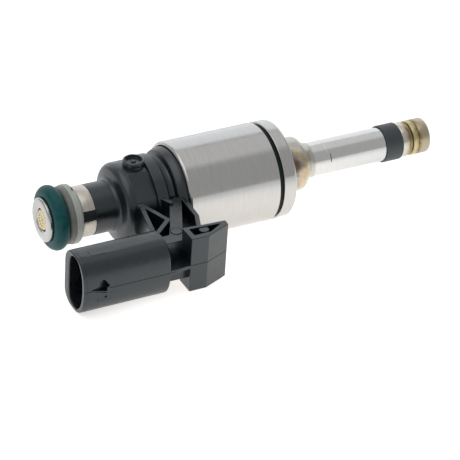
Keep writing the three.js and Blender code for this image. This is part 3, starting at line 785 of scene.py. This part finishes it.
def connector_body():
    """The whole moulding: neck, collar, band and flange, with the arm, the shroud and the block."""
    body = boss_and_flat(overmould())
    arm = lattice()
    arm = combine(arm[0], arm[1:], "UNION")
    arm = combine(arm, [drill(NECK_START - 1, HOUSING_END, 7.7)], "DIFFERENCE")
    lug_outline = [(0.3, -3.0), (3.2, -3.0), (3.2, -0.4), (2.4, -0.4), (2.3, -1.15), (0.3, -0.7)]
    lug = slab("lug", lug_outline, 24.5, 26.28, 0.06, 0.05, along_n)
    patch = slab("patch", rectangle(0.2, 3.4, 21.0, 22.9), 4.9, 5.56, 0.05, 0.1)
    key = key_tool("key", KEY_WIDTH, 7.15, NECK_START + 0.4, TUBE_R + 0.1, NECK_R - 0.04)
    body = combine(body, [shroud(), block(), arm, lug, patch, key], "UNION")
    cuts = [*latch_tools(), *seam_tools()]
    slot_outline = rectangle(SOCKET_FLOOR - 1, SOCKET_FLOOR + 2, TERMINAL_N - 0.45, TERMINAL_N + 0.45)
    for v in (TERMINAL_V, -TERMINAL_V):
        cuts.append(slab("slot", slot_outline, v - 0.9, v + 0.9, 0.02, 0))
    groove = 0.16
    cuts.append(ring_groove(PAD["x"], PAD["n"], PAD["radius"], PAD["radius"] + groove,
                            ARM_TOP - groove, ARM_TOP + 1))
    return combine(body, cuts, "DIFFERENCE")


# ---------------------------------------------------------------- steel body


def magnet_housing():
    return turned("magnet_housing_body", [
        (HOUSING_START + 1.3, HOUSING_BORE), (HOUSING_START + 1.3, FLANGE_R + 0.05),
        (HOUSING_START + 0.05, FLANGE_R + 0.1, 0.1),
        *curve(HOUSING_START + 0.55, HOUSING_R - 0.55, 0.55, 180, 90, 10),
        (HOUSING_END + 0.1, HOUSING_R, 0.12), (HOUSING_END + 0.1, HOUSING_BORE)], 0.08, 220)


def housing_cover():
    return turned("housing_cover_body", [
        (46.6, 5.18), (46.6, HOUSING_BORE - 0.08), (COVER_START - 0.1, HOUSING_BORE - 0.08),
        (COVER_START - 0.1, HOUSING_R - 0.05, 0.15),
        *curve(COVER_END - 0.75, HOUSING_R - 0.8, 0.75, 90, 0, 10),
        (COVER_END, SHOULDER_R + 0.08), (COVER_START, SHOULDER_R + 0.08), (COVER_START, 5.18)], 0.08, 220)


def valve_body():
    return turned("valve_body_body", [
        (COVER_START + 0.08, 1.6), (COVER_START + 0.08, SHOULDER_R), (COVER_END + 0.35, SHOULDER_R, 0.05),
        (COVER_END + 0.45, SHOULDER_R - 0.1, 0.05), (COVER_END + 0.75, SHOULDER_R - 0.1, 0.05),
        (COVER_END + 0.85, SHOULDER_R, 0.05),
        *curve(SHOULDER_END - 0.35, SHOULDER_R - 1.1, 1.1, 90, 10, 8),
        *curve(NOZZLE_START + 0.4, NOZZLE_R + 1.45, 1.35, 215, 266, 8),
        (60.1, NOZZLE_R + 0.09, 0), (56, NOZZLE_R + 0.08, 0), (56, 1.6)], 0.08)


def nozzle_tube():
    """The nozzle's tube, with a turned line round it and a short scribed mark beside that."""
    tube_body = turned("nozzle_tube_body", [
        (56.1, 1.9), (56.1, NOZZLE_R), (RING_LINE, NOZZLE_R, 0), (RING_LINE + 0.06, NOZZLE_R - 0.04, 0),
        (RING_LINE + 0.12, NOZZLE_R, 0), (RING_START - 0.06, NOZZLE_R, 0.06), (RING_START - 0.06, 3.3),
        (RING_END + 0.06, 3.3), (RING_END + 0.06, TIP_R, 0.1), (82.9, TIP_R, 0.12), (83.1, 3.45),
        (83.7, 3.45), (83.7, 1.9)], 0.08)
    mark_outline = rectangle(RING_LINE + 0.6, RING_LINE + 0.8, -0.9, 0.9)
    mark = slab("mark", mark_outline, 3.1, 5, 0.01, 0, along_n)
    return combine(tube_body, [roll_about_axis(mark, -MARK_ANGLE)], "DIFFERENCE")


def housing_seal_ring():
    start, end = HOUSING_END + 0.12, COVER_START - 0.12
    return tube("housing_seal_ring_body", start, end, HOUSING_BORE, HOUSING_R - 0.4)


def support_ring():
    return tube("nozzle_support_ring_body", RING_START, RING_END, 3.38, RING_R, 0.14)


def valve_seat():
    """The tip, with its groove, the seat cone inside, a shallow dish and six spray holes."""
    tip = turned("valve_seat_body", [
        (86.0, 0), (86.0, 0.4), (84.5, 1.7), (83.9, 1.7), (83.9, TIP_R, 0.12), (85.1, TIP_R, 0.12),
        (85.25, 3.5), (85.55, 3.5), (85.7, TIP_R, 0.12), (TIP_END, TIP_R, 0.22), (TIP_END, 1.7, 0.1),
        (TIP_END - 0.2, 1.4, 0.1), (TIP_END - 0.2, 0)], 0.06)
    return combine(tip, drill_circle(6, 0.95, 85.8, 88.2, 0.12, 16), "DIFFERENCE")


# ---------------------------------------------------------------- the pieces

show(inlet_tube(), STEEL, "steel", "inlet_tube")
show(o_ring(), TEAL, "o_ring", "inlet_o_ring")
show(backup_ring(), PALE, "backup_plastic", "backup_ring")
show(spacer_ring(), SPACER_STEEL, "steel", "spacer_ring")
show(strainer(), CREAM, "strainer_plastic", "fuel_strainer")
show(connector_body(), PLASTIC, "overmould", "connector_body")
show(magnet_housing(), STEEL, "steel", "magnet_housing")
show(housing_seal_ring(), GASKET, "black_seal", "housing_seal_ring")
show(housing_cover(), STEEL, "steel", "housing_cover")
show(valve_body(), WELDED_STEEL, "steel", "valve_body")
show(nozzle_tube(), NOZZLE_STEEL, "steel", "nozzle_tube")
show(support_ring(), BLACK, "black_seal", "nozzle_support_ring")
show(valve_seat(), TIP_STEEL, "tip_steel", "valve_seat")

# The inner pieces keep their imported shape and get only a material.
KEPT = {
    STEEL: ["adjusting_sleeve", "valve_sleeve", "upper_stop_ring", "lower_stop_sleeve", "needle",
            "needle_ball"],
    MAGNET_STEEL: ["top_washer", "inner_pole", "armature", "needle_guide"],
    SPRING_STEEL: ["closing_spring", "overtravel_spring"],
    BRASS: ["strainer_collar"],
    CONTACT: ["terminal_upper", "terminal_lower"],
    COPPER: ["coil_winding"],
    BOBBIN: ["coil_bobbin"],
}
for material, names in KEPT.items():
    for name in names:
        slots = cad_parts[name].data.materials
        slots.clear()
        slots.append(material)

# ---------------------------------------------------------------- camera

FOCAL_LENGTH, SENSOR = 195.65, 36.0
CAMERA_AZIMUTH, CAMERA_ELEVATION = math.radians(-27.64), math.radians(26.63)
AIM_X = 48.31                                  # the point on the axis that the next three are measured to
AIM_RIGHT, AIM_UP, AIM_AWAY = 5.49, 11.976, 512.8
VIEW_ROLL = math.radians(7.0)                  # the injector's roll in this view


def add_camera():
    """The photo's view of the injector."""
    data = bpy.data.cameras.new("camera")
    data.lens, data.sensor_width = FOCAL_LENGTH, SENSOR
    data.clip_start, data.clip_end = 0.01, 20
    camera = bpy.data.objects.new("camera", data)
    turn = Matrix.Rotation(CAMERA_AZIMUTH, 3, "Z") @ Matrix.Rotation(math.pi / 2 - CAMERA_ELEVATION, 3, "X")
    aim = ORIGIN + Vector((AIM_X * MM, 0, 0))
    place = aim - turn @ (Vector((AIM_RIGHT, AIM_UP, -AIM_AWAY)) * MM)
    about_axis = Matrix.Rotation(ROLL - VIEW_ROLL, 4, "X")
    pose = Matrix.Translation(place) @ turn.to_4x4()
    camera.matrix_world = Matrix.Translation(ORIGIN) @ about_axis @ Matrix.Translation(-ORIGIN) @ pose
    bpy.context.scene.collection.objects.link(camera)
    bpy.context.scene.camera = camera


add_camera()

# ---------------------------------------------------------------- floor, light and surroundings

FLOOR_SIZE = 8.0
FLOOR_COLOUR = (0.74, 0.74, 0.74, 1)
WARM_GLOW = (1.0, 0.95, 0.9)
WHITE_GLOW = (1.0, 1.0, 1.0)


def add_floor():
    """A pale table that glows a little round the object, which keeps the shadows faint."""
    graph = Graph("floor", Roughness=0.6)
    graph.out("Base Color", FLOOR_COLOUR)
    here = graph.add("ShaderNodeTexCoord").outputs["Object"]
    distance = graph.vector("LENGTH", {0: here}, "Value")
    near = graph.stretch(distance, 0.0, 0.08, 0.58, 0.0)
    wide = graph.stretch(distance, 0.09, 0.35, 0.4, 0.0)
    graph.out("Emission Color", graph.mix(graph.stretch(distance, 0.0, 0.07), WARM_GLOW, WHITE_GLOW))
    graph.out("Emission Strength", graph.maths("ADD", near, wide))
    bpy.ops.mesh.primitive_plane_add(size=FLOOR_SIZE, location=(0, 0, 0))
    floor = bpy.context.object
    floor.name = "floor"
    floor.data.materials.append(graph.material)


def add_softbox(name, azimuth, elevation, distance, width, height, radiance, colour=(1, 1, 1)):
    """A soft panel that faces the object; azimuth is measured from +x towards +y."""
    across, up = math.radians(azimuth), math.radians(elevation)
    away = Vector((math.cos(across) * math.cos(up), math.sin(across) * math.cos(up), math.sin(up)))
    data = bpy.data.lights.new(name, "AREA")
    data.shape = "RECTANGLE"
    data.size, data.size_y, data.color = width, height, colour
    data.energy = radiance * math.pi * width * height
    light = bpy.data.objects.new(name, data)
    light.location = away * distance
    light.rotation_euler = away.to_track_quat("Z", "Y").to_euler()
    bpy.context.scene.collection.objects.link(light)


def add_world(colour, strength):
    """An even glow from all round."""
    world = bpy.data.worlds.new("studio")
    world.use_nodes = True
    background = world.node_tree.nodes["Background"]
    background.inputs[0].default_value = (*colour, 1)
    background.inputs[1].default_value = strength
    bpy.context.scene.world = world


add_floor()
add_softbox("backdrop", azimuth=68, elevation=20, distance=1.3, width=2.4, height=1.5, radiance=0.74,
            colour=(0.9, 0.94, 1.0))
add_softbox("overhead", azimuth=75, elevation=80, distance=1.2, width=1.8, height=0.95, radiance=0.15)
add_softbox("overhead_wide", azimuth=75, elevation=80, distance=1.25, width=1.8, height=1.4, radiance=0.15)
add_softbox("key", azimuth=205, elevation=66, distance=1.1, width=1.15, height=1.15, radiance=0.8)
add_world(colour=(1.0, 1.0, 0.99), strength=0.52)
bpy.context.scene.view_settings.view_transform = "Standard"
